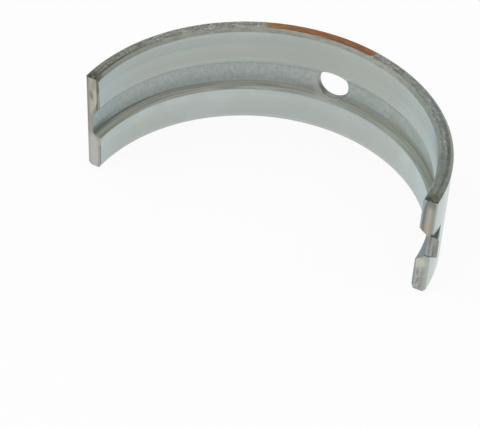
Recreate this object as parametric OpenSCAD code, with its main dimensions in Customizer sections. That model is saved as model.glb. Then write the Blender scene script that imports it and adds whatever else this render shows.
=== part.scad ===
// Half shell of an engine main bearing, standing on one rim.
// A strip of lined steel is bent to a half round and machined: an oil groove
// runs round the bore, an oil hole opens into it at the crown, and a locating
// lug is pressed out of the wall at one parting face.
// The origin is the middle of the bearing's axis, and the axis is +Z. The
// parting faces lie on Y = 0, the crown points to +Y and the lug is at +X.

/* [Shell] */
// Outside diameter, which is that of the housing bore
housing_d = 82.55; // [60:0.05:120]
// Thickness of the wall, steel back and lining together
wall = 3.15; // [2.8:0.05:6]
// Width of the shell along its axis
width = 25.4; // [18:0.1:40]

/* [Edges] */
// Chamfer round the outside of both rims
rim_outer_chamfer = 0.65; // [0.2:0.05:1]
// Depth into the wall of the bevel round the inside of both rims
rim_inner_depth = 0.45; // [0.2:0.05:1]
// Length along the bore of the bevel round the inside of both rims
rim_inner_length = 1.15; // [0.2:0.05:2]
// Width, on the parting faces, of the edge break along the bore
parting_inner_width = 0.5; // [0.2:0.05:1]
// Length round the bore of that edge break
parting_inner_length = 0.25; // [0.1:0.05:1]
// Edge break along the back of the parting faces
parting_outer_chamfer = 0.3; // [0.1:0.05:0.6]
// Width, on the parting faces, of the edge break at the rims
parting_rim_width = 0.65; // [0.2:0.05:1]
// Length round the rims of that edge break
parting_rim_length = 0.25; // [0.1:0.05:1]

/* [Oil groove] */
// Width of the groove where it opens into the bore
groove_w = 8.6; // [6:0.1:11]
// Depth of the groove below the bore
groove_depth = 1.75; // [1:0.05:2.2]
// Slope of the groove's upper wall, from its floor
groove_slope_top = 38; // [34:1:70]
// Slope of the groove's lower wall, from its floor
groove_slope_low = 50; // [34:1:70]
// Radius in the corners of the groove's floor
groove_fillet = 1.2; // [0.4:0.1:2]
// Distance of the groove's middle above the middle of the width
groove_shift = -0.2; // [-1:0.05:1]

/* [Oil hole] */
// Diameter of the oil hole
hole_d = 7.5; // [3:0.1:9]
// Angle of the oil hole from the crown, towards the lug
hole_angle = 0; // [-60:1:60]

/* [Locating lug] */
// Width of the lug along the axis
lug_w = 5.4; // [3:0.1:8]
// Height of the lug above the back, at the parting face
lug_h = 1.45; // [0.8:0.05:2.5]
// Length of the lug's ramp round the back
lug_l = 5.5; // [3:0.1:9]
// Radius of the lug's outer corners
lug_corner = 0.6; // [0.2:0.1:1]
// Distance of the lug's middle above the middle of the width
lug_shift = 0.1; // [-4:0.1:4]
// Distance of the lug's end behind the parting face
lug_setback = 0.15; // [0.05:0.05:0.5]
// Depth of the dent behind the lug, below the groove's floor
dent_depth = 0.3; // [0.1:0.05:0.6]

/* [Hidden] */
$fn = 180;

half_w = width / 2;
back_r = housing_d / 2;
bore_r = back_r - wall;
groove_floor_r = bore_r + groove_depth;
lug_root_r = (groove_floor_r + back_r) / 2;
lug_angle = lug_l / back_r * 180 / PI;
lug_tip = [back_r + lug_h, lug_setback];
ramp_end = back_r * [cos(lug_angle), sin(lug_angle)];
dent_deepest_r = groove_floor_r + dent_depth;
// Distance from the bearing's axis to the axis of the round punch
punch_x = (dent_deepest_r^2 - groove_floor_r^2)
    / (dent_deepest_r - groove_floor_r * cos(lug_angle)) / 2;
// How far every cut starts outside the face that it opens
clear = 1;

// Section of the plain wall: radius along X, height along Y
module wall_section() {
    polygon([
        [bore_r, rim_inner_length - half_w],
        [bore_r + rim_inner_depth, -half_w],
        [back_r - rim_outer_chamfer, -half_w],
        [back_r, rim_outer_chamfer - half_w],
        [back_r, half_w - rim_outer_chamfer],
        [back_r - rim_outer_chamfer, half_w],
        [bore_r + rim_inner_depth, half_w],
        [bore_r, half_w - rim_inner_length]
    ]);
}

// Sliver that the cutter's radius leaves where a wall of this slope meets the
// groove's floor
module groove_corner(slope) {
    reach = groove_fillet * tan(slope / 2);
    difference() {
        polygon([
            [0, -reach],
            [0, 0],
            [-reach * sin(slope), reach * cos(slope)]
        ]);
        translate([-groove_fillet, -reach])
            circle(groove_fillet);
    }
}

// Upper or lower half of the cut that makes the groove, with a sloping wall
module groove_half_section(slope) {
    floor_end = groove_w / 2 - groove_depth / tan(slope);
    difference() {
        polygon([
            [bore_r - clear, 0],
            [groove_floor_r, 0],
            [groove_floor_r, floor_end],
            [bore_r - clear, groove_w / 2 + clear / tan(slope)]
        ]);
        translate([groove_floor_r, floor_end])
            groove_corner(slope);
    }
}

// Section of the whole cut
module groove_section() {
    groove_half_section(groove_slope_top);
    mirror([0, 1])
        groove_half_section(groove_slope_low);
}

// The grooved half round, before its ends are finished
module grooved_half() {
    rotate_extrude(angle = 180)
        difference() {
            wall_section();
            translate([0, groove_shift])
                groove_section();
        }
}

// Oil hole, square to the wall
module oil_hole() {
    rotate([0, 0, -hole_angle])
        translate([0, bore_r - clear, groove_shift])
            rotate([-90, 0, 0])
                cylinder(d = hole_d, h = wall + 2 * clear);
}

// Right-angled corner cut, its sloping side crossing the axes at a and b
module corner_cut(a, b) {
    polygon([
        [-clear, -clear],
        [a + clear * a / b, -clear],
        [-clear, b + clear * b / a]
    ]);
}

// Edge breaks along the four edges of the parting face at the +X end
module parting_chamfers() {
    translate([0, 0, -half_w - clear])
        linear_extrude(width + 2 * clear) {
            translate([bore_r, 0])
                corner_cut(parting_inner_width, parting_inner_length);
            translate([back_r, 0])
                mirror([1, 0])
                    corner_cut(parting_outer_chamfer, parting_outer_chamfer);
        }
    for (side = [0, 1])
        mirror([0, 0, side])
            translate([bore_r - clear, 0, -half_w])
                rotate([90, 0, 90])
                    linear_extrude(wall + 2 * clear)
                        corner_cut(parting_rim_length, parting_rim_width);
}

// End view of the lug: a bar from inside the wall out to its rounded corners
module lug_end_view() {
    bar_l = lug_tip.x - lug_root_r;
    translate([lug_root_r, -lug_w / 2]) {
        square([bar_l - lug_corner, lug_w]);
        translate([0, lug_corner])
            square([bar_l, lug_w - 2 * lug_corner]);
        for (y = [lug_corner, lug_w - lug_corner])
            translate([bar_l - lug_corner, y])
                circle(lug_corner);
    }
}

// Wedge of metal that stands out of the back at the parting face. Its ramp
// runs on into the wall, past where it meets the back.
module lug() {
    run_on = 0.2 * (ramp_end - lug_tip);
    intersection() {
        translate([0, 0, lug_shift - lug_w])
            linear_extrude(2 * lug_w)
                polygon([[lug_root_r, lug_tip.y], lug_tip, ramp_end + run_on]);
        translate([0, 2 * lug_l, lug_shift])
            rotate([90, 0, 0])
                linear_extrude(3 * lug_l)
                    lug_end_view();
    }
}

// Dent that the punch leaves in the groove behind the lug, fading out round
// the bore as far as the lug's ramp does
module lug_dent() {
    translate([punch_x, 0, lug_shift - lug_w / 2])
        cylinder(r = dent_deepest_r - punch_x, h = lug_w);
}

module bearing_shell() {
    color("silver")
        difference() {
            union() {
                difference() {
                    grooved_half();
                    for (end = [0, 1])
                        mirror([end, 0, 0])
                            parting_chamfers();
                }
                lug();
            }
            oil_hole();
            lug_dent();
        }
}

bearing_shell();
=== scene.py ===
import math

import bpy
from mathutils import Matrix, Vector


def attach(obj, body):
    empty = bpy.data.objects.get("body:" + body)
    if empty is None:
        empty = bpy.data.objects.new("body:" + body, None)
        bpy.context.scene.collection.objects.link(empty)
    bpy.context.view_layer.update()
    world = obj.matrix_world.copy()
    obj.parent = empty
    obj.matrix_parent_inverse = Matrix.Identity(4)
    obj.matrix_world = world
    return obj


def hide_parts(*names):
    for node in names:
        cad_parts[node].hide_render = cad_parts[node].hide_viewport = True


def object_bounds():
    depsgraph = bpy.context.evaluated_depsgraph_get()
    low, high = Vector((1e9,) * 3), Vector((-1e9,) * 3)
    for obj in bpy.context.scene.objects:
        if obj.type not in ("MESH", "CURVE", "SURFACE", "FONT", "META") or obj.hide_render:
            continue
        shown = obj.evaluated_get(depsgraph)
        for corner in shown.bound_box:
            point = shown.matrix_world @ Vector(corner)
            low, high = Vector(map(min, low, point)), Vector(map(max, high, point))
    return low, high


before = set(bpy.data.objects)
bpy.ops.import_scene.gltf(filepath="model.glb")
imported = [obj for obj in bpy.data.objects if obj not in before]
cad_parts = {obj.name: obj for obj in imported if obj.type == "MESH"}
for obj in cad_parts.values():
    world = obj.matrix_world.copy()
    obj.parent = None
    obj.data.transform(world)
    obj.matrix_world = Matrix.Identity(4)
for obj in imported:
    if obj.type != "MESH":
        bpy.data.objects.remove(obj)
cad_low, cad_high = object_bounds()
scene = bpy.context.scene
scene.view_settings.view_transform = "Standard"

# The bearing shell. It is a strip of steel with a soft metal lining bonded to its
# inside, bent to a half round. The rims, bore and oil groove are turned, the oil
# hole is drilled at the crown, and a punch presses the lug out at one end.
mm = 0.001
back_r = 41.275
bore_r = 38.125
half_w = 12.7
rim_outer_chamfer = 0.65
rim_inner_depth, rim_inner_length = 0.45, 1.15
groove_w, groove_depth = 8.6, 1.75
groove_slope_top, groove_slope_low = 38, 50
groove_fillet, groove_shift = 1.2, -0.2
hole_r, hole_edge_break = 3.75, 0.16
lug_w, lug_h, lug_l, lug_shift = 5.4, 1.45, 5.5, 0.1
lug_corner, lug_root, lug_taper = 0.6, 0.22, 0.18
lug_setback, lug_end_slope = 0.12, 0.03
dent_depth, dent_slope_top, dent_slope_low, dent_overlap = 0.3, 1.28, 3.0, 0.1
edge_r, mouth_r = 0.09, 0.12

inner_r, outer_r = bore_r + rim_inner_depth, back_r - rim_outer_chamfer
bevel_top, chamfer_top = half_w - rim_inner_length, half_w - rim_outer_chamfer
groove_floor_r = bore_r + groove_depth
groove_top = groove_shift + groove_w / 2
groove_low = groove_shift - groove_w / 2
floor_top = groove_top - groove_depth / math.tan(math.radians(groove_slope_top))
floor_low = groove_low + groove_depth / math.tan(math.radians(groove_slope_low))
lug_low = lug_shift - lug_w / 2

# Corners of the section: radius, height and corner radius. Then, for the plain end and
# for the lug's end, where the corner lies on the parting face and how long the chamfer
# is that leads to it. Last is the finish of the run that follows.
LINING, GROOVE, RIM, PARTING, BACK = range(5)
corners = [
    (inner_r, -half_w, edge_r, (38.92, -12.42, 0.25), (39.10, -12.64, 0.08), RIM),
    (outer_r, -half_w, edge_r, (40.40, -12.45, 0.25), (40.70, -12.64, 0.08), RIM),
    (back_r, -chamfer_top, edge_r, (40.98, -11.75, 0.32), (41.05, -12.10, 0.15), BACK),
    (back_r, chamfer_top, edge_r, (40.98, 11.60, 0.32), (40.98, 11.50, 0.30), RIM),
    (outer_r, half_w, edge_r, (40.62, 12.02, 0.25), (40.62, 11.96, 0.33), RIM),
    (inner_r, half_w, edge_r, (38.80, 11.96, 0.25), (38.95, 11.78, 0.33), RIM),
    (bore_r, bevel_top, edge_r, (38.63, 11.55, 0.20), (38.92, 11.56, 0.12), LINING),
    (bore_r, groove_top, mouth_r, (39.10, groove_top, 0.45), (38.60, groove_top, 0.08), GROOVE),
    (groove_floor_r, floor_top, groove_fillet, (39.90, floor_top, 0.12), (40.20, floor_top, 0.08), GROOVE),
    (groove_floor_r, floor_low, groove_fillet, (39.90, floor_low, 0.12), (40.00, floor_low, 0.08), GROOVE),
    (bore_r, groove_low, mouth_r, (39.10, groove_low, 0.50), (38.50, groove_low, 0.08), LINING),
    (bore_r, -bevel_top, edge_r, (38.68, -11.60, 0.35), (38.94, -11.75, 0.08), RIM),
]
spots = [Vector(corner[:2]) for corner in corners]


def after(k):
    """Number of the corner that follows one, all the way round the section."""
    return (k + 1) % len(corners)


def corner_arc(k, large=0.5):
    """Points of the small arc that rounds a corner of the section, more of them on a large one."""
    radius = corners[k][2]
    arriving = (spots[k] - spots[k - 1]).normalized()
    leaving = (spots[after(k)] - spots[k]).normalized()
    swing = math.atan2(arriving.x * leaving.y - arriving.y * leaving.x, arriving.dot(leaving))
    start = spots[k] - arriving * radius * math.tan(abs(swing) / 2)
    centre = start + Vector((-arriving.y, arriving.x)) * math.copysign(radius, swing)
    steps = 8 if radius > large else 3
    turns = [Matrix.Rotation(swing * n / steps, 2) for n in range(steps + 1)]
    return [centre + turn @ (start - centre) for turn in turns]


def lug_outline(steps=6, flank_run=0.4, root_run=0.75, corner_run=0.9):
    """The lug in the end view: (height on the plain back, radius, height on the lug).

    The runs say how much of the plain back the flank, the root and the corner take up."""
    half = [(lug_low - lug_root, back_r, lug_low - lug_root)]
    for k in range(1, steps + 1):
        turn = math.radians(90 * k / steps)
        half.append((lug_low - lug_root * (1 - root_run * k / steps),
                     back_r + lug_root * (1 - math.cos(turn)),
                     lug_low - lug_root * (1 - math.sin(turn))))
    foot = half[-1][0]
    for k in range(1, steps + 1):
        share = k / steps
        half.append((foot + flank_run * share,
                     back_r + lug_root + (lug_h - lug_root - lug_corner) * share,
                     lug_low + lug_taper * share))
    for k in range(1, 2 * steps + 1):
        turn = math.radians(90 * k / (2 * steps))
        over = lug_corner * (1 - math.cos(turn))
        half.append((foot + flank_run + corner_run * over,
                     back_r + lug_h - lug_corner * (1 - math.sin(turn)),
                     lug_low + lug_taper + over))
    other = [(2 * lug_shift - a, r, 2 * lug_shift - z) for a, r, z in reversed(half)]
    return half + other


def smooth(share):
    """Eased step from 0 to 1."""
    share = min(1.0, max(0.0, share))
    return share * share * (3 - 2 * share)


def plain_edge(z):
    """Radius of the plain end's inner edge, which is broken wide where the groove opens."""
    land_r, widens_from, widest_at = (38.63, 6.3, 1.2) if z > groove_shift else (38.66, -5.8, -1.4)
    widest_r = groove_floor_r + 0.04
    return land_r + (widest_r - land_r) * smooth((widens_from - z) / (widens_from - widest_at))


def lug_edge(z, bore, clear=0.05):
    """Radius of the lug end's inner edge, which widens towards the rims and follows the
    punched groove closely."""
    if z > groove_shift:
        land_r, widening, widens_from, reach = 38.58, 0.35, 9.4, 2.2
    else:
        land_r, widening, widens_from, reach = 38.45, 0.50, 5.5, 5.5
    return max(land_r + widening * smooth((abs(z) - widens_from) / reach), bore + clear)


def punched(z):
    """Radius that the punch reaches at the lug's end, with a sloping upper side."""
    upper_side = bore_r + dent_slope_top * (groove_top + dent_overlap - z)
    lower_side = groove_floor_r + dent_slope_low * (z - lug_low)
    return min(groove_floor_r + dent_depth, upper_side, lower_side)


def run_stops(a, b, finish, margin=0.06, spacing=0.4, back_parts=24, clear=0.01):
    """Shares of a run where the section has a point: beside its ends and evenly between.
    On the back, the points of the lug's outline take the place of the even ones there."""
    reach = (b - a).length
    beside = min(margin / reach, 0.1)
    if finish == BACK:
        parts = back_parts
    elif reach > 1:
        parts = max(4, round(reach / spacing))
    else:
        parts = 1
    stops = [n / parts for n in range(1, parts)]
    if finish == BACK:
        lug_stops = [(z - a.y) / reach for z, _, _ in lug_outline()]
        below = [s for s in stops if s < lug_stops[0] - clear]
        stops = below + lug_stops + [s for s in stops if s > lug_stops[-1] + clear]
    return [0.0, beside, *stops, 1 - beside]


# Every point of the section knows its finish, where it lies on the parting faces, and
# how far the lug and its dent push it.
outline, finish_of = [], []
moves = {name: [] for name in ("plain_inset", "lug_inset", "lug_push", "dent_push")}
lengths = {name: [] for name in ("plain_chamfer", "lug_chamfer")}


def add_point(p, plain, lug, finish, clear=0.03, near=0.001):
    """Adds a point of the section, given its places and chamfers at the two ends."""
    dent = max(0.0, punched(p.y) - p.x) if finish == GROOVE else 0.0
    if finish in (LINING, GROOVE):
        plain.xy = max(plain_edge(p.y), p.x + clear), p.y
        lug.xy = lug_edge(p.y, p.x + dent), p.y
    z, radius, height = min(lug_outline(), key=lambda spot: abs(spot[0] - p.y))
    on_lug = finish == BACK and abs(z - p.y) < near
    outline.append(p)
    finish_of.append(finish)
    moves["plain_inset"].append(plain.xy - p)
    moves["lug_inset"].append(lug.xy - p - Vector((dent, 0)))
    moves["lug_push"].append(Vector((radius, height)) - p if on_lug else Vector((0, 0)))
    moves["dent_push"].append(Vector((dent, 0)))
    lengths["plain_chamfer"].append(plain.z)
    lengths["lug_chamfer"].append(lug.z)


for k, (_, _, _, plain, lug, finish) in enumerate(corners):
    _, _, _, next_plain, next_lug, _ = corners[after(k)]
    arc = corner_arc(k)
    for p in arc[:-1]:
        add_point(p, Vector(plain), Vector(lug), finish)
    run_start, run_end = arc[-1], corner_arc(after(k))[0]
    for s in run_stops(run_start, run_end, finish):
        add_point(run_start.lerp(run_end, s), Vector(plain).lerp(Vector(next_plain), s),
                  Vector(lug).lerp(Vector(next_lug), s), finish)

section = bpy.data.meshes.new("shell_section")
section.from_pydata([(p.x * mm, 0, p.y * mm) for p in outline], [], [range(len(outline))])
for name, pushes in moves.items():
    layer = section.attributes.new(name, "FLOAT_VECTOR", "POINT")
    for n, push in enumerate(pushes):
        layer.data[n].vector = (push.x * mm, 0, push.y * mm)
for name, values in lengths.items():
    layer = section.attributes.new(name, "FLOAT", "POINT")
    layer.data.foreach_set("value", [value * mm for value in values])
layer = section.attributes.new("finish", "INT", "POINT")
layer.data.foreach_set("value", finish_of)
strip = bpy.data.objects.new("shell_strip", section)
scene.collection.objects.link(strip)


# The drill that cuts the oil hole. Its flared ends break the two edges of the hole
# and follow them where they climb the groove's walls.
drill_sides, drill_rings, drill_reach = 96, 6, 2.0


def bore_at(z):
    """Radius of the bore, groove included, at a height."""
    wall_line = [p for p, finish in zip(outline, finish_of) if finish in (LINING, GROOVE)]
    for a, b in zip(wall_line, wall_line[1:]):
        if b.y <= z <= a.y:
            return a.x + (b.x - a.x) * (a.y - z) / max(a.y - b.y, 1e-9)
    return bore_r


def back_at(z):
    """Radius of the back, which is the same at every height."""
    return back_r


def drill_line(side, rise):
    """Points of the drill, from end to end, in one direction from its axis."""
    wide = hole_r + hole_edge_break
    flared = wide + 2 * hole_edge_break

    def level(radius, surface):
        """Distance from the bearing's axis where a ring of the drill meets a surface."""
        return math.sqrt(surface(groove_shift + radius * rise) ** 2 - (radius * side) ** 2)

    halves = []
    for surface, into, outside in ((bore_at, 1, bore_r - drill_reach), (back_at, -1, back_r + drill_reach)):
        straight_from = level(hole_r, surface) + into * hole_edge_break
        # The flare runs on past the surface, twice as far again.
        flare_end = 3 * level(wide, surface) - 2 * straight_from
        halves.append([(flared, outside), (flared, flare_end), (hole_r, straight_from)])
    return [Vector((radius * side, y, groove_shift + radius * rise)) * mm
            for radius, y in halves[0] + halves[1][::-1]]


drill_lines = []
for n in range(drill_sides):
    turn = 2 * math.pi * n / drill_sides
    drill_lines.append(drill_line(math.cos(turn), math.sin(turn)))
first_ring = list(range(drill_sides))
last_ring = [(drill_rings - 1) * drill_sides + n for n in first_ring]
drill_faces = [first_ring, last_ring[::-1]]
for ring in range(drill_rings - 1):
    here, beyond = ring * drill_sides, (ring + 1) * drill_sides
    for n in range(drill_sides):
        m = (n + 1) % drill_sides
        drill_faces.append([here + m, here + n, beyond + n, beyond + m])
drill_mesh = bpy.data.meshes.new("drill")
drill_mesh.from_pydata([p for ring in zip(*drill_lines) for p in ring], [], drill_faces)
layer = drill_mesh.attributes.new("finish", "INT", "FACE")
layer.data.foreach_set("value", [GROOVE] * len(drill_faces))
drill = bpy.data.objects.new("drill", drill_mesh)
scene.collection.objects.link(drill)


class Nodes:
    """Adds nodes to a tree and joins their sockets."""

    def __init__(self, tree):
        self.tree = tree

    def put(self, socket, value):
        if isinstance(value, bpy.types.NodeSocket):
            self.tree.links.new(value, socket)
        elif value is not None:
            socket.default_value = value

    def add(self, kind, *inputs, named=None, **settings):
        """Adds a node with its settings and inputs, and gives its first output."""
        node = self.tree.nodes.new(kind)
        for key, value in settings.items():
            setattr(node, key, value)
        for socket, value in zip(node.inputs, inputs):
            self.put(socket, value)
        for key, value in (named or {}).items():
            self.put(node.inputs[key], value)
        return node.outputs[0]

    def math(self, operation, a, b=None, clamp=False):
        return self.add("ShaderNodeMath", a, b, operation=operation, use_clamp=clamp)

    def times(self, product, *others):
        """All the values multiplied."""
        for other in others:
            product = self.math("MULTIPLY", product, other)
        return product

    def vector(self, operation, a, b=None):
        return self.add("ShaderNodeVectorMath", a, b, operation=operation)

    def scaled(self, a, by):
        return self.add("ShaderNodeVectorMath", a, operation="SCALE", named={"Scale": by})

    def parts(self, vector):
        return self.add("ShaderNodeSeparateXYZ", vector).node.outputs


# The strip is bent by a node tree, which t adds to: a grid has one column for each point
# of the section and one row for each ring, and the rings crowd towards the parting faces.
bend = bpy.data.node_groups.new("half_shell", "GeometryNodeTree")
bend.interface.new_socket("Geometry", in_out="INPUT", socket_type="NodeSocketGeometry")
bend.interface.new_socket("Geometry", in_out="OUTPUT", socket_type="NodeSocketGeometry")
settings = {
    "Drill": ("NodeSocketObject", drill),
    "Rings": ("NodeSocketInt", 300),
    "End Crowding": ("NodeSocketFloat", 0.97),
    "Back Radius": ("NodeSocketFloat", back_r * mm),
    "Lug Length": ("NodeSocketFloat", lug_l * mm),
    "Lug Setback": ("NodeSocketFloat", lug_setback * mm),
    "Lug End Slope": ("NodeSocketFloat", lug_end_slope * mm),
    "Sharp Angle": ("NodeSocketFloat", math.radians(26)),
}
for name, (kind, _) in settings.items():
    bend.interface.new_socket(name, in_out="INPUT", socket_type=kind)
t = Nodes(bend)
given = bend.nodes.new("NodeGroupInput").outputs
made = bend.nodes.new("NodeGroupOutput")
strip_in = given["Geometry"]


def named_field(name, kind="FLOAT_VECTOR"):
    """A value that the points or faces carry by name."""
    return t.add("GeometryNodeInputNamedAttribute", name, data_type=kind)


def of_section(field, column, kind="FLOAT_VECTOR"):
    """A value of the section's point that a column of the grid stands for."""
    return t.add("GeometryNodeSampleIndex", strip_in, field, column, data_type=kind, domain="POINT")


def ring_angle(row):
    """Angle of a ring round the bearing's axis, from the lug's end."""
    share = t.math("DIVIDE", row, given["Rings"])
    wave = t.math("SINE", t.times(share, 2 * math.pi))
    return t.math("SUBTRACT", t.times(share, math.pi), t.times(wave, given["End Crowding"], 0.5))


def by_end(angle, name, column):
    """A value of the section that has one form at the plain end and one at the lug's."""
    plain = of_section(named_field("plain_" + name), column)
    lug = of_section(named_field("lug_" + name), column)
    at_lug = t.math("LESS_THAN", angle, math.pi / 2)
    return t.vector("ADD", plain, t.scaled(t.vector("SUBTRACT", lug, plain), at_lug))


def end_cut(angle, column):
    """Share of the end chamfer that a ring takes, and its distance from the lug's end."""
    from_lug_end = t.times(angle, given["Back Radius"])
    from_plain_end = t.times(t.math("SUBTRACT", math.pi, angle), given["Back Radius"])
    depth = t.parts(by_end(angle, "chamfer", column))[0]
    nearest = t.math("MINIMUM", from_lug_end, from_plain_end)
    return t.math("SUBTRACT", 1, t.math("DIVIDE", nearest, depth), clamp=True), from_lug_end


def whole_quotient(a, b):
    """How many times b goes into the whole number a. The half keeps it clear of rounding."""
    return t.math("FLOOR", t.math("DIVIDE", t.math("ADD", a, 0.5), b))


def with_finish(geometry, finish):
    """Stores the finish of each face on the mesh."""
    return t.add("GeometryNodeStoreNamedAttribute", geometry, None, "finish", finish,
                 data_type="INT", domain="FACE")


def joined(*parts):
    """Lays meshes together as one."""
    whole = t.add("GeometryNodeJoinGeometry")
    for part in parts:
        t.put(whole.node.inputs[0], part)
    return whole


point_count = t.add("GeometryNodeAttributeDomainSize", strip_in, component="MESH")
row_length = t.math("ADD", given["Rings"], 1)
grid = t.add("GeometryNodeMeshGrid", 1, 1, t.math("ADD", point_count, 1), row_length)
index = t.add("GeometryNodeInputIndex")
column = t.math("FLOORED_MODULO", whole_quotient(index, row_length), point_count)
angle = ring_angle(t.math("FLOORED_MODULO", index, row_length))
cut, from_lug_end = end_cut(angle, column)

# The lug and its dent fade out along the lug's ramp, and the lug's end is sheared off
# just behind the parting face.
ramp_power, dent_power = 1.2, 0.7
fade = t.math("SUBTRACT", 1, t.math("DIVIDE", from_lug_end, given["Lug Length"]), clamp=True)
past_end = t.math("SUBTRACT", from_lug_end, given["Lug Setback"])
sheared = t.math("DIVIDE", past_end, given["Lug End Slope"], clamp=True)
pushes = {
    "lug_push": t.times(t.math("POWER", fade, ramp_power), sheared),
    "dent_push": t.math("POWER", fade, dent_power),
}
place = of_section(t.add("GeometryNodeInputPosition"), column)
place = t.vector("ADD", place, t.scaled(by_end(angle, "inset", column), cut))
for name, amount in pushes.items():
    place = t.vector("ADD", place, t.scaled(of_section(named_field(name), column), amount))
across, _, height = t.parts(place)
bent = t.add("ShaderNodeCombineXYZ", t.times(across, t.math("COSINE", angle)),
             t.times(across, t.math("SINE", angle)), height)
wall = t.add("GeometryNodeSetPosition", grid, None, bent)

# Each face takes its run's finish, apart from the chamfers round the parting faces.
face_column = whole_quotient(index, given["Rings"])
face_row = t.math("FLOORED_MODULO", index, given["Rings"])
face_cut, _ = end_cut(ring_angle(t.math("ADD", face_row, 0.5)), face_column)
run_finish = of_section(named_field("finish", "INT"), face_column, "INT")
on_chamfer = t.math("GREATER_THAN", face_cut, 0)
off_chamfer = t.math("SUBTRACT", 1, on_chamfer)
wall = with_finish(wall, t.math("ADD", t.times(run_finish, off_chamfer), t.times(on_chamfer, PARTING)))

# The two parting faces are the section itself, drawn in by the chamfer.
flip_across, weld, hole_weld = (-1, 1, 1), 0.0004 * mm, 0.001 * mm
lug_end_place = t.add("GeometryNodeInputPosition")
for name in ("lug_inset", "dent_push"):
    lug_end_place = t.vector("ADD", lug_end_place, named_field(name))
lug_face = t.add("GeometryNodeSetPosition", strip_in, None, lug_end_place)
plain_end_place = t.vector("ADD", t.add("GeometryNodeInputPosition"), named_field("plain_inset"))
plain_end_place = t.vector("MULTIPLY", plain_end_place, flip_across)
plain_face = t.add("GeometryNodeSetPosition", strip_in, None, plain_end_place)
end_faces = joined(t.add("GeometryNodeFlipFaces", lug_face), plain_face)
for name in ["finish", *moves, *lengths]:
    end_faces = t.add("GeometryNodeRemoveAttribute", end_faces, name)
closed = joined(wall, with_finish(end_faces, PARTING))
closed = t.add("GeometryNodeMergeByDistance", closed, None, weld)

# The drill opens the hole, and edges that turn sharply stay crisp.
tool = t.add("GeometryNodeObjectInfo", given["Drill"], transform_space="ORIGINAL").node.outputs["Geometry"]
holed = t.add("GeometryNodeMeshBoolean", closed, tool, operation="DIFFERENCE", solver="EXACT")
holed = t.add("GeometryNodeMergeByDistance", holed, None, hole_weld)
holed = t.add("GeometryNodeSetShadeSmooth", holed, None, True, domain="FACE")
crease = t.math("GREATER_THAN", t.add("GeometryNodeInputMeshEdgeAngle"), given["Sharp Angle"])
holed = t.add("GeometryNodeSetShadeSmooth", holed, crease, False, domain="EDGE")
holed = t.add("GeometryNodeRealizeInstances", holed)


def srgb(*levels):
    """Linear colour of a finish that is seen on screen as these red, green and blue levels."""
    shares = [level / 255 for level in levels]
    return tuple(((s + 0.055) / 1.055) ** 2.4 for s in shares) + (1.0,)


class Finish(Nodes):
    """A finish of the shell. Its patterns follow the radius, angle and height on the piece,
    in millimetres and in degrees from the lug's end. Below, f is the finish being made."""

    def __init__(self, name, metallic):
        self.material = bpy.data.materials.new(name)
        self.material.use_nodes = True
        super().__init__(self.material.node_tree)
        self.shader = self.tree.nodes["Principled BSDF"]
        self.shader.inputs["Metallic"].default_value = metallic
        coordinates = self.add("ShaderNodeTexCoord").node.outputs
        self.place = self.scaled(coordinates["Object"], 1 / mm)
        self.x, self.y, self.z = self.parts(self.place)
        self.radius = self.distance(self.x, self.y)
        self.angle = self.math("DEGREES", self.math("ARCTAN2", self.y, self.x))
        self.upper_half = self.over(self.z, -1, 1)
        self.lug_half = self.over(self.x, -1, 1)
        self.colour = None

    def distance(self, a, b):
        """Length of two offsets that are square to each other."""
        return self.math("SQRT", self.math("ADD", self.math("POWER", a, 2), self.math("POWER", b, 2)))

    def offset(self, value, middle, reach=1.0):
        """How far a value lies from a middle, in shares of a reach."""
        return self.math("DIVIDE", self.math("SUBTRACT", value, middle), reach)

    def over(self, value, low, high):
        """0 below low, 1 above high and smooth between."""
        return self.add("ShaderNodeMapRange", value, low, high, 0.0, 1.0, interpolation_type="SMOOTHSTEP")

    def under(self, value, low, high):
        """1 below low, 0 above high and smooth between."""
        return self.math("SUBTRACT", 1, self.over(value, low, high))

    def between(self, value, rise, fall):
        """1 between two slopes, each given by its start and its end."""
        return self.times(self.over(value, *rise), self.under(value, *fall))

    def level(self, share, low, high):
        """A value that goes from low to high as a share goes from 0 to 1."""
        return self.add("ShaderNodeMapRange", share, 0.0, 1.0, low, high)

    def noise(self, vector, scale=1.0, detail=3.0, roughness=0.5):
        """Uneven pattern between 0 and 1."""
        return self.add("ShaderNodeTexNoise", named={
            "Vector": vector, "Scale": scale, "Detail": detail, "Roughness": roughness})

    def along(self, round_by, up_by, deep_by=0.0):
        """A place that is stretched round the shell, up its axis and through its wall."""
        return self.add("ShaderNodeCombineXYZ", self.times(self.angle, round_by),
                        self.times(self.z, up_by), self.times(self.radius, deep_by))

    def on_end(self, across_by, up_by):
        """A place that is stretched across a parting face and up it."""
        return self.add("ShaderNodeCombineXYZ", self.times(self.x, across_by), self.y,
                        self.times(self.z, up_by))

    def mix(self, amount, a, b):
        """Colour a with an amount of colour b over it."""
        node = self.tree.nodes.new("ShaderNodeMix")
        node.data_type = "RGBA"
        sockets = {socket.identifier: socket for socket in node.inputs}
        for name, value in (("Factor_Float", amount), ("A_Color", a), ("B_Color", b)):
            self.put(sockets[name], value)
        return next(socket for socket in node.outputs if socket.identifier == "Result_Color")

    def coat(self, colour, *amounts):
        """Lays a colour over the finish, as thick as the amounts multiplied."""
        self.colour = self.mix(self.times(*amounts), self.colour, colour)

    def finish(self, roughness, height, depth):
        """Gives the shader its colour, its roughness and its marks, whose depth is in mm."""
        bump = self.add("ShaderNodeBump", named={"Height": height, "Distance": depth * mm, "Strength": 1.0})
        for name, value in (("Base Color", self.colour), ("Roughness", roughness), ("Normal", bump)):
            self.put(self.shader.inputs[name], value)
        return self.material


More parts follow.
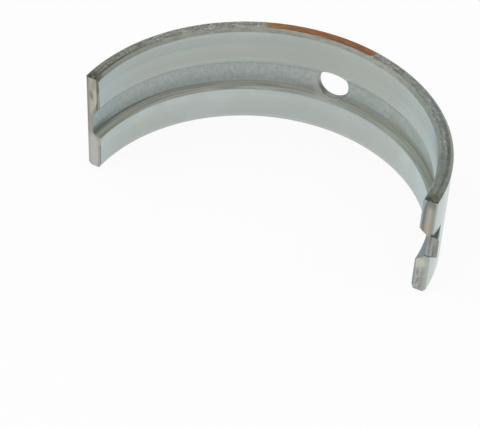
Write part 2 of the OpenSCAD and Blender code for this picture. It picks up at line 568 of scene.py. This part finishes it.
def plated_lining():
    """Running surface: a soft plated lining, bored fine, with faint bands round the bore."""
    f = Finish("plated_lining", metallic=0.45)
    bands = f.noise(f.along(0.004, 0.7))
    streaks = f.noise(f.along(0.03, 2.6), detail=4.0)
    clouds = f.noise(f.place, 0.12)
    upper = f.mix(f.over(bands, 0.35, 0.65), srgb(175, 181, 176), srgb(185, 196, 193))
    # The lower land is painted lighter than the upper: painted light from the white table below it.
    lower = f.mix(f.over(f.z, -8.4, -6.0), srgb(190, 198, 195), srgb(195, 206, 203))
    f.colour = f.mix(f.upper_half, lower, upper)
    f.coat(srgb(174, 180, 175), f.over(streaks, 0.3, 0.7), f.level(f.upper_half, 0.28, 0.42))
    f.coat(srgb(178, 180, 173), f.over(clouds, 0.35, 0.7), 0.4)
    dull_band = f.between(f.z, (7.6, 8.6), (9.2, 10.2))
    f.coat(srgb(168, 176, 171), dull_band, 0.4)
    warm_band = f.times(f.between(f.z, (3.8, 4.8), (7.6, 8.6)), f.between(f.angle, (66, 90), (138, 160)))
    f.coat(srgb(182, 183, 172), warm_band, 0.35)
    by_crown = f.between(f.angle, (52, 66), (100, 124))
    f.coat(srgb(168, 174, 167), by_crown, f.level(f.upper_half, 0.3, 0.5))
    by_lug = f.under(f.angle, 36, 66)
    f.coat(srgb(169, 195, 198), by_lug, 0.4)
    by_plain_end = f.over(f.angle, 156, 176)
    f.coat(srgb(182, 202, 203), by_plain_end, f.level(f.upper_half, 0.25, 0.4))
    below_groove = f.times(f.over(f.z, groove_low - 0.22, groove_low - 0.06), f.under(f.z, -1, 1))
    f.coat(srgb(124, 130, 125), below_groove, 0.5)
    # Painted shade on the upper land under the rim, towards the lug's end.
    shade_under_rim = f.times(f.over(f.z, 6.5, 11.3), f.under(f.angle, 22, 40))
    f.coat(srgb(128, 138, 132), shade_under_rim, 0.75)
    return f.finish(f.level(streaks, 0.34, 0.5), streaks, 0.004)


def groove_floor(f, patches):
    """Colour of the groove's floor: mottled grey, with oil stains towards the lug."""
    mottle = f.noise(f.along(0.8, 0.7), roughness=0.6)
    speckle = f.noise(f.along(1.1, 1.8), roughness=0.6)
    up_floor = f.over(f.z, -3.0, 0.8)
    pale = f.mix(up_floor, srgb(164, 170, 166), srgb(181, 188, 186))
    dull = f.mix(up_floor, srgb(150, 157, 153), srgb(164, 171, 169))
    stain = f.mix(f.over(patches, 0.42, 0.58), srgb(150, 163, 148), srgb(164, 180, 180))
    by_lug = f.under(f.angle, 72, 92)
    f.colour = f.mix(f.over(mottle, 0.3, 0.7), pale, dull)
    f.coat(stain, by_lug, 0.45)
    f.coat(srgb(138, 146, 138), f.over(speckle, 0.42, 0.68), f.level(by_lug, 0.22, 0.4))
    by_plain_end = f.over(f.angle, 158, 176)
    f.coat(srgb(150, 175, 179), by_plain_end, 0.35)
    return f.colour


def groove_walls(f, marks):
    """Colour of the groove's walls: the lower one is browner, with the cutter's marks."""
    mouth_side = f.mix(f.over(f.angle, 78, 114), srgb(148, 158, 153), srgb(163, 168, 161))
    deep_side = f.mix(f.over(f.angle, 60, 110), srgb(136, 143, 133), srgb(146, 150, 140))
    f.colour = f.mix(f.over(f.radius, 38.6, 39.0), mouth_side, deep_side)
    f.coat(srgb(116, 116, 102), f.over(marks, 0.42, 0.62), 0.55)
    by_lug = f.under(f.angle, 3, 14)
    f.coat(srgb(140, 150, 157), by_lug)
    upper_wall = f.mix(f.over(f.angle, 100, 130), srgb(207, 213, 208), srgb(215, 222, 217))
    upper_wall = f.mix(f.over(f.angle, 160, 176), upper_wall, srgb(210, 226, 226))
    return f.mix(f.upper_half, f.colour, upper_wall)


def drilled_wall(f):
    """Colour of the oil hole's wall, with darker places low down on both sides."""
    low_side = f.mix(f.over(f.x, -2.6, -1.0), srgb(104, 108, 102), srgb(140, 146, 140))
    low_side = f.mix(f.over(f.x, 0.0, 1.4), low_side, srgb(116, 119, 113))
    wall_colour = f.mix(f.over(f.z, -2.6, 0.2), low_side, srgb(172, 180, 176))
    return f.mix(f.over(f.y, 39.25, 39.5), srgb(165, 172, 164), wall_colour)


def cut_groove():
    """Oil groove: cut through the lining, duller and browner, with painted shade along the corner
    between the floor and the lower wall. It is rubbed beside the oil hole."""
    f = Finish("cut_groove", metallic=0.45)
    marks = f.noise(f.along(0.05, 3.0, 1.0), detail=4.0)
    patches = f.noise(f.along(0.12, 0.5), detail=2.0)
    floor_colour = groove_floor(f, patches)
    f.colour = f.mix(f.over(f.radius, 39.6, 39.84), groove_walls(f, marks), floor_colour)
    # Painted shade along the concave corner between the floor and the lower wall, darker towards both ends.
    corner_shade = f.times(f.between(f.radius, (39.4, 39.62), (39.68, 39.86)), f.under(f.z, -1.0, -0.5))
    by_lug = f.under(f.angle, 52, 74)
    f.coat(srgb(112, 112, 92), corner_shade, by_lug, 0.45)
    # Painted shade on the foot of the floor beside the corner, mottled by the patches.
    foot_shade = f.times(f.over(f.radius, 39.5, 39.7), f.under(f.z, -2.7, -1.9), f.under(f.angle, 92, 110))
    f.coat(srgb(124, 126, 115), foot_shade, f.level(f.over(patches, 0.35, 0.65), 0.38, 0.62))
    by_plain_end = f.over(f.angle, 130, 165)
    f.coat(srgb(86, 90, 84), corner_shade, f.level(by_plain_end, 0.12, 0.75))
    # Painted shade deepening the groove's corner near the plain end.
    end_corner_shade = f.times(f.over(f.radius, 39.0, 39.5), f.under(f.z, -2.9, -1.2), f.over(f.angle, 165, 178))
    f.coat(srgb(98, 107, 101), end_corner_shade, 0.85)
    from_hole = f.distance(f.x, f.offset(f.z, groove_shift))
    rubbed = f.times(f.under(from_hole, hole_r + 0.5, hole_r + 2.6), f.under(f.x, -1.0, 1.0))
    f.coat(srgb(190, 185, 174), rubbed, 0.3)
    drilled = f.under(from_hole, hole_r + 0.02, hole_r + 0.2)
    f.coat(drilled_wall(f), drilled)
    return f.finish(f.level(marks, 0.4, 0.55), marks, 0.006)


def rim_flats(f, turning, grain, blotch, by_lug):
    """Flats of the rims: dull turned steel, speckled, and smoother towards the lug."""
    f.colour = f.mix(f.over(blotch, 0.35, 0.65), srgb(122, 125, 115), srgb(142, 146, 139))
    f.coat(srgb(82, 84, 75), f.over(turning, 0.5, 0.64), f.level(by_lug, 0.9, 0.65))
    f.coat(srgb(176, 179, 170), f.under(turning, 0.36, 0.46), f.level(by_lug, 0.8, 0.5))
    grained = f.level(by_lug, 0.75, 0.35)
    f.coat(srgb(80, 82, 73), f.over(grain, 0.5, 0.62), grained)
    f.coat(srgb(186, 188, 179), f.under(grain, 0.36, 0.45), grained)
    flecks = f.noise(f.along(0.55, 1.0, 2.0), detail=2.0)
    f.coat(srgb(82, 94, 92), f.over(flecks, 0.5, 0.6), by_lug, 0.6)
    f.coat(srgb(168, 177, 172), f.under(flecks, 0.34, 0.44), by_lug, 0.55)
    f.coat(srgb(118, 130, 124), by_lug, 0.35)


def rim_ends(f, on_bevel, on_flat):
    """Upper rim darker towards both parting faces, with painted shade a little way from the lug's end."""
    # Painted shade on the rim's flat a little way from the lug's end.
    rim_shade_by_lug = f.times(f.between(f.angle, (3, 9), (18, 27)), f.under(f.radius, 40.55, 40.7))
    f.coat(srgb(88, 96, 90), rim_shade_by_lug, f.upper_half, 0.4)
    near_end = f.times(f.upper_half, f.under(f.y, 0.2, 3.5))
    f.coat(srgb(74, 72, 58), near_end, f.level(f.lug_half, 0.7, 0.3))
    by_plain_end = f.times(f.upper_half, f.over(f.angle, 140, 172))
    f.coat(srgb(88, 88, 72), by_plain_end, on_flat, 0.4)
    f.coat(srgb(148, 152, 144), by_plain_end, on_bevel, 0.8)
    bevel_edge = f.between(f.radius, (38.48, 38.58), (38.72, 38.95))
    f.coat(srgb(62, 62, 50), bevel_edge, by_plain_end, 0.85)


def rim_edges(f, blotch):
    """Outer chamfer and the dark seams along it and along the bevel, then specks by the ends."""
    outer_seam = f.times(f.between(f.radius, (39.7, 40.05), (40.42, 40.6)), f.under(f.angle, 24, 60))
    f.coat(srgb(72, 80, 76), outer_seam, f.level(f.over(blotch, 0.3, 0.7), 0.5, 0.9))
    inner_seam = f.times(f.between(f.radius, (38.85, 38.95), (39.1, 39.25)), f.under(f.angle, 60, 76))
    f.coat(srgb(92, 98, 84), inner_seam, 0.4)
    on_chamfer = f.over(f.radius, 40.6, 40.72)
    f.coat(srgb(96, 97, 87), on_chamfer, f.over(f.angle, 50, 80), 0.7)
    by_lug_colour = f.mix(f.over(f.angle, 9, 17), srgb(108, 110, 94), srgb(146, 145, 131))
    f.coat(by_lug_colour, on_chamfer, f.under(f.angle, 34, 56), 0.6)
    f.coat(srgb(84, 84, 64), f.upper_half, f.under(f.angle, 3, 6), 0.25)
    specks = f.over(f.noise(f.place, 1.1, 2.0), 0.46, 0.58)
    specks_by_end = f.times(f.upper_half, specks, f.under(f.y, 0.3, 2.6))
    f.coat(srgb(48, 51, 45), specks_by_end, f.level(f.lug_half, 0.85, 0.5))


def size_paint(f, turning):
    """Stripe of brown size paint on the upper rim, thin enough to show the turning."""
    paint = f.mix(f.over(f.radius, 38.9, 40.1), srgb(116, 78, 40), srgb(142, 88, 46))
    paint = f.mix(f.times(f.over(f.angle, 94, 112), 0.8), paint, srgb(134, 99, 54))
    paint = f.mix(f.times(f.over(turning, 0.45, 0.6), 0.7), paint, srgb(110, 68, 36))
    paint = f.mix(f.times(f.under(turning, 0.36, 0.46), 0.65), paint, srgb(166, 114, 70))
    slant = f.math("ADD", f.angle, f.times(f.offset(f.radius, 39.6), 0.5))
    stripe = f.times(f.over(slant, 75.5, 75.75), f.under(f.angle, 111, 116.5), f.over(f.z, 12.62, 12.68))
    f.coat(paint, stripe)


def turned_rim():
    """Rims: turned steel, dull and speckled, darker towards the ends, with the upper bevel cleaner than
    the flats and the lower bevel pale with painted light from the table. A stripe of size paint crosses the
    upper rim."""
    f = Finish("turned_rim", metallic=0.5)
    grain = f.noise(f.along(1.3, 3.0, 3.4), roughness=0.65)
    turning = f.noise(f.along(0.28, 0.5, 3.6), roughness=0.65)
    blotch = f.noise(f.place, 0.35)
    by_lug = f.under(f.angle, 44, 76)
    on_bevel, on_flat = f.under(f.radius, 38.5, 38.62), f.over(f.radius, 38.5, 38.62)
    rim_flats(f, turning, grain, blotch, by_lug)
    bevel_colour = f.mix(f.over(turning, 0.35, 0.65), srgb(162, 164, 155), srgb(140, 143, 133))
    bevel_colour = f.mix(f.times(by_lug, 0.4), bevel_colour, srgb(136, 148, 138))
    # The lower bevel faces down; its pale colour is painted light from the table below.
    f.coat(f.mix(f.upper_half, srgb(195, 201, 198), bevel_colour), on_bevel)
    rim_ends(f, on_bevel, on_flat)
    rim_edges(f, blotch)
    size_paint(f, turning)
    return f.finish(f.level(grain, 0.42, 0.6), turning, 0.012)


def end_flats(f, lines, above):
    """Flats of the parting faces: warm above the groove, greyer below, smudged and lined."""
    smudge = f.over(f.noise(f.on_end(1.2, 0.3), 0.8), 0.42, 0.68)
    low_colour = f.mix(f.lug_half, srgb(182, 184, 176), srgb(192, 195, 181))
    clean = f.mix(f.lug_half, srgb(181, 183, 165), srgb(172, 170, 153))
    f.colour = f.mix(above, low_colour, f.mix(smudge, clean, srgb(162, 155, 139)))
    neck = f.between(f.z, (-4.8, -2.2), (1.0, 4.0))
    f.coat(srgb(150, 150, 142), neck, 0.9)
    f.coat(srgb(152, 150, 140), f.over(lines, 0.4, 0.7), 0.25)


def end_wear(f, pits, above):
    """Pitted foot of the lug's end, and the duller strips along both sides of the flats."""
    middle = f.between(f.radius, (38.7, 39.2), (40.5, 41.0))
    worn = f.times(f.lug_half, f.under(f.z, -7.8, -5.6), f.level(middle, 0.45, 1.0))
    f.coat(srgb(150, 154, 146), worn, 0.45)
    f.coat(srgb(116, 120, 115), worn, f.over(pits, 0.42, 0.58), 0.8)
    outer_stain = f.times(f.between(f.radius, (39.6, 40.0), (40.65, 40.95)), f.under(f.z, -6.4, -5.2))
    f.coat(srgb(140, 143, 138), outer_stain, f.lug_half, 0.55)
    outer_side = f.over(f.radius, 40.0, 40.65)
    above_lug, below_lug = f.times(f.lug_half, above), f.times(f.lug_half, f.under(f.z, -2.0, 2.5))
    f.coat(f.mix(f.lug_half, srgb(160, 154, 141), srgb(140, 142, 134)), outer_side, above, 0.75)
    f.coat(srgb(166, 172, 164), outer_side, below_lug, 0.7)
    f.coat(srgb(140, 138, 128), f.under(f.radius, 38.9, 39.8), above_lug, 0.6)
    f.coat(srgb(112, 117, 115), f.under(f.radius, 38.95, 39.35), above_lug, 0.8)


def end_stains(f, above, plain_end):
    """A rosy patch on both faces, soil towards the upper rim, and one dark stain that leans
    over on the plain end, whose outer edge is dark too."""
    rosy_middle = f.level(f.lug_half, 40.1, 39.7)
    from_rosy = f.distance(f.offset(f.radius, rosy_middle, 0.8), f.offset(f.z, 5.4, 2.2))
    f.coat(srgb(180, 158, 138), f.under(from_rosy, 0.2, 1.2), f.level(f.lug_half, 0.5, 0.48))
    soil = f.mix(f.lug_half, srgb(146, 148, 138), srgb(120, 121, 113))
    f.coat(soil, f.over(f.z, 9.2, 11.4), f.level(f.lug_half, 0.35, 0.9))
    up_stain = f.offset(f.z, 7.3)
    across_stain = f.math("SUBTRACT", f.offset(f.radius, 39.95), f.times(up_stain, 0.14))
    from_stain = f.distance(f.math("DIVIDE", across_stain, 0.62), f.math("DIVIDE", up_stain, 1.6))
    f.coat(srgb(112, 107, 94), plain_end, f.under(from_stain, 0.1, 1.2), 0.85)
    f.coat(srgb(118, 115, 105), plain_end, f.over(f.radius, 40.4, 40.8), f.level(above, 0.3, 0.5))


def bore_edge(f):
    """Colour of the narrow bevel that breaks the bore's edge, different at the two ends."""
    above_mouth = f.over(f.z, -5.6, -4.8)
    strip_mid = f.times(f.between(f.radius, (38.2, 38.28), (38.42, 38.52)), f.under(f.z, 7.6, 8.8))
    upper_strip = f.mix(strip_mid, srgb(104, 106, 94), srgb(158, 162, 152))
    lower_strip = f.mix(f.over(f.radius, 38.2, 38.32), srgb(118, 123, 116), srgb(160, 165, 158))
    plain_strip = f.mix(above_mouth, lower_strip, upper_strip)
    plain_strip = f.mix(f.over(f.radius, 38.7, 39.0), plain_strip, srgb(146, 146, 134))
    flare = f.between(f.z, (-6.6, -5.8), (-4.2, -3.6))
    plain_strip = f.mix(f.times(flare, 0.8), plain_strip, srgb(176, 175, 163))
    lug_strip = f.mix(f.over(f.radius, 38.42, 38.6), srgb(134, 143, 147), srgb(166, 172, 164))
    lug_strip = f.mix(above_mouth, lug_strip, srgb(152, 161, 165))
    strip_colour = f.mix(f.lug_half, plain_strip, lug_strip)
    at_low_mouth = f.between(f.z, (-4.7, -4.5), (-2.6, -2.4))
    return f.mix(f.times(at_low_mouth, f.lug_half), strip_colour, srgb(110, 116, 118))


def end_edges(f, pits):
    """Broken edges of the parting faces: along the bore, the back and both rims."""
    chamfered = f.over(f.y, 0.004, 0.016)
    f.coat(bore_edge(f), chamfered, f.under(f.radius, 40.0, 40.3))
    back_edge = f.mix(f.lug_half, srgb(112, 114, 108), srgb(172, 179, 174))
    f.coat(back_edge, chamfered, f.over(f.radius, 40.75, 40.95))
    # Painted shadow on the outer chamfer of the lug's end, just above the lug.
    shadow_above_lug = f.times(f.between(f.z, (2.5, 2.8), (3.1, 3.9)), f.over(f.radius, 40.6, 40.9))
    f.coat(srgb(58, 64, 56), shadow_above_lug, f.lug_half)
    past_rim_edge = f.offset(f.z, f.level(f.lug_half, 11.98, 11.80))
    dark_break = f.mix(f.over(pits, 0.42, 0.56), srgb(98, 98, 82), srgb(56, 60, 54))
    f.coat(dark_break, f.over(past_rim_edge, 0.0, 0.07))
    f.coat(srgb(150, 153, 146), f.under(f.z, -12.5, -12.4))


def sheared_lug(f):
    """End of the lug: torn along its length, with a painted shadow line below it."""
    from_lug = f.math("ABSOLUTE", f.offset(f.z, lug_shift))
    torn = f.over(f.noise(f.on_end(3.0, 0.15)), 0.35, 0.65)
    on_lug = f.times(f.under(from_lug, lug_w / 2 - 0.05, lug_w / 2 + 0.05), f.over(f.radius, 39.9, 40.0))
    f.coat(f.mix(torn, srgb(112, 118, 116), srgb(168, 169, 160)), f.lug_half, on_lug)
    from_foot = f.math("ABSOLUTE", f.offset(f.z, lug_low))
    # Painted shadow along the lug's lower edge on the parting face.
    shadow_below_lug = f.times(f.under(from_foot, 0.08, 0.2), f.over(f.radius, 39.3, 39.6))
    f.coat(srgb(82, 88, 88), f.lug_half, shadow_below_lug)


def broached_end():
    """Parting faces: broached flat, clean and warm, greyer below the groove, with worn
    edges. The corners that meet the rims are broken and dark, and the lug's end is torn."""
    f = Finish("broached_end", metallic=0.4)
    lines = f.noise(f.on_end(5.0, 0.4))
    pits = f.noise(f.on_end(1.0, 0.5), 1.5, 4.0, 0.6)
    above = f.over(f.z, -2.0, 2.5)
    plain_end = f.under(f.x, -1, 1)
    end_flats(f, lines, above)
    end_wear(f, pits, above)
    end_stains(f, above, plain_end)
    end_edges(f, pits)
    sheared_lug(f)
    return f.finish(f.level(lines, 0.4, 0.52), lines, 0.006)


def ground_back():
    """Back: ground steel with stains from oil and handling, and a fine grain along the axis."""
    f = Finish("ground_back", metallic=0.6)
    stain = f.noise(f.along(0.03, 0.03), detail=2.0)
    tint = f.noise(f.along(0.022, 0.02, 0.2), detail=2.0)
    smear = f.noise(f.place, 0.14, roughness=0.55)
    grain = f.noise(f.along(3.2, 0.25, 1.0), roughness=0.6)
    stained = f.over(stain, 0.42, 0.66)
    f.colour = srgb(204, 210, 206)
    f.coat(srgb(178, 172, 155), stained, 0.75)
    f.coat(srgb(170, 150, 130), stained, f.over(smear, 0.45, 0.7), 0.5)
    f.coat(srgb(168, 179, 187), f.over(tint, 0.48, 0.66), 0.65)
    f.coat(srgb(152, 152, 144), f.over(grain, 0.45, 0.75), 0.28)
    # Towards the lug's end the back is painted lighter and free of stains: partly clean steel, partly painted
    # sheen.
    clean = f.mix(f.over(f.angle, 1, 12), srgb(194, 206, 203), srgb(213, 224, 223))
    f.coat(clean, f.under(f.angle, 10, 34))
    from_lug = f.math("ABSOLUTE", f.offset(f.z, lug_shift))
    # The lug's flanks are dark: partly dark sheared steel, partly painted shade that deepens towards the root
    # of the upper flank.
    lug_flank = f.times(f.over(f.radius, back_r + 0.02, back_r + 0.1), f.over(from_lug, 2.3, 2.5))
    upper_flank_steel_and_shade = f.mix(f.over(f.radius, back_r + 0.1, back_r + 1.2), srgb(60, 66, 58), srgb(134, 139, 129))
    f.coat(f.mix(f.upper_half, srgb(138, 144, 138), upper_flank_steel_and_shade), lug_flank)
    # Painted shadow where the lug's upper flank meets the back at its end.
    root_shadow = f.times(f.between(f.z, (2.5, 2.75), (3.05, 3.4)), f.under(f.angle, 2.0, 5.5))
    f.coat(srgb(70, 77, 70), root_shadow, 0.85)
    return f.finish(f.level(grain, 0.34, 0.5), grain, 0.006)


material_of = {
    LINING: plated_lining(),
    GROOVE: cut_groove(),
    RIM: turned_rim(),
    PARTING: broached_end(),
    BACK: ground_back(),
}
face_finish = named_field("finish", "INT")
for number, material in material_of.items():
    chosen = t.add("FunctionNodeCompare", None, None, face_finish, number, data_type="INT", operation="EQUAL")
    holed = t.add("GeometryNodeSetMaterial", holed, chosen, material)
t.put(made.inputs[0], holed)

bending = strip.modifiers.new("half_shell", "NODES")
bending.node_group = bend
for item in bend.interface.items_tree:
    if item.in_out == "INPUT" and item.name in settings:
        bending[item.identifier] = settings[item.name][1]
bent_strip = strip.evaluated_get(bpy.context.evaluated_depsgraph_get())
shell = bpy.data.objects.new("bearing_shell_dressed", bpy.data.meshes.new_from_object(bent_strip))
scene.collection.objects.link(shell)
bpy.data.objects.remove(strip)
bpy.data.objects.remove(drill)
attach(shell, "root")
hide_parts("bearing_shell")

# The table: a plain white sheet that runs on past the picture. It shows white and
# keeps part of the shell's shadow.
table_reach = 3.0
table_grey, table_glow = 0.86, 0.9


def shown_rays(nodes):
    """1 on the rays that show a surface, straight or in metal and glass."""
    rays = nodes.add("ShaderNodeLightPath").node.outputs
    mirrored = nodes.math("MAXIMUM", rays["Is Glossy Ray"], rays["Is Transmission Ray"])
    return nodes.math("MAXIMUM", rays["Is Camera Ray"], mirrored)


table_mesh = bpy.data.meshes.new("white_table")
table_sides = ((-1, -1), (1, -1), (1, 1), (-1, 1))
table_corners = [(x * table_reach, y * table_reach, cad_low.z) for x, y in table_sides]
table_mesh.from_pydata(table_corners, [], [[0, 1, 2, 3]])
table = bpy.data.objects.new("white_table", table_mesh)
scene.collection.objects.link(table)
paper = bpy.data.materials.new("white_paper")
paper.use_nodes = True
sheet = Nodes(paper.node_tree)
paper.node_tree.nodes.remove(paper.node_tree.nodes["Principled BSDF"])
matt = sheet.add("ShaderNodeBsdfDiffuse", (table_grey, table_grey, table_grey, 1))
glow = sheet.add("ShaderNodeEmission", (1, 1, 1, 1), 1.0)
shown = sheet.add("ShaderNodeMixShader", sheet.times(shown_rays(sheet), table_glow), matt, glow)
sheet.put(paper.node_tree.nodes["Material Output"].inputs[0], shown)
table_mesh.materials.append(paper)

# The light: an even white tent of cloth all round, which looks a little whiter than the
# light it gives, and one broad lamp above and to the left.
tent_light, tent_white = 0.92, 1.0
tent = bpy.data.worlds.new("white_tent")
tent.use_nodes = True
scene.world = tent
cloth = Nodes(tent.node_tree)
tent_strength = cloth.math("ADD", cloth.times(shown_rays(cloth), tent_white - tent_light), tent_light)
cloth.put(tent.node_tree.nodes["Background"].inputs["Color"], (1, 1, 1, 1))
cloth.put(tent.node_tree.nodes["Background"].inputs["Strength"], tent_strength)
lamp_data = bpy.data.lights.new("broad_lamp", "AREA")
lamp_data.shape = "DISK"
lamp_data.size = 0.9
lamp_data.energy = 1.8
lamp = bpy.data.objects.new("broad_lamp", lamp_data)
lamp.location = (-0.75, -0.45, 0.45)
lamp_target = Vector((0, 0.02, 0))
lamp.rotation_euler = (lamp_target - lamp.location).to_track_quat("-Z", "Y").to_euler()
scene.collection.objects.link(lamp)

# The camera stands in front of the open side, above it and to the right.
camera_place = Vector((116.990, -243.209, 230.861)) * mm
heading, downward, roll = 26.1851, 41.6622, 2.7337
camera_data = bpy.data.cameras.new("camera")
camera_data.sensor_fit = "HORIZONTAL"
camera_data.sensor_width = 36.0
camera_data.lens = 125.329
camera_data.clip_start, camera_data.clip_end = 0.01, 50.0
camera = bpy.data.objects.new("camera", camera_data)
view = Matrix.Translation(camera_place)
for degrees, axis in ((heading, "Z"), (90 - downward, "X"), (roll, "Z")):
    view = view @ Matrix.Rotation(math.radians(degrees), 4, axis)
camera.matrix_world = view
scene.collection.objects.link(camera)
scene.camera = camera
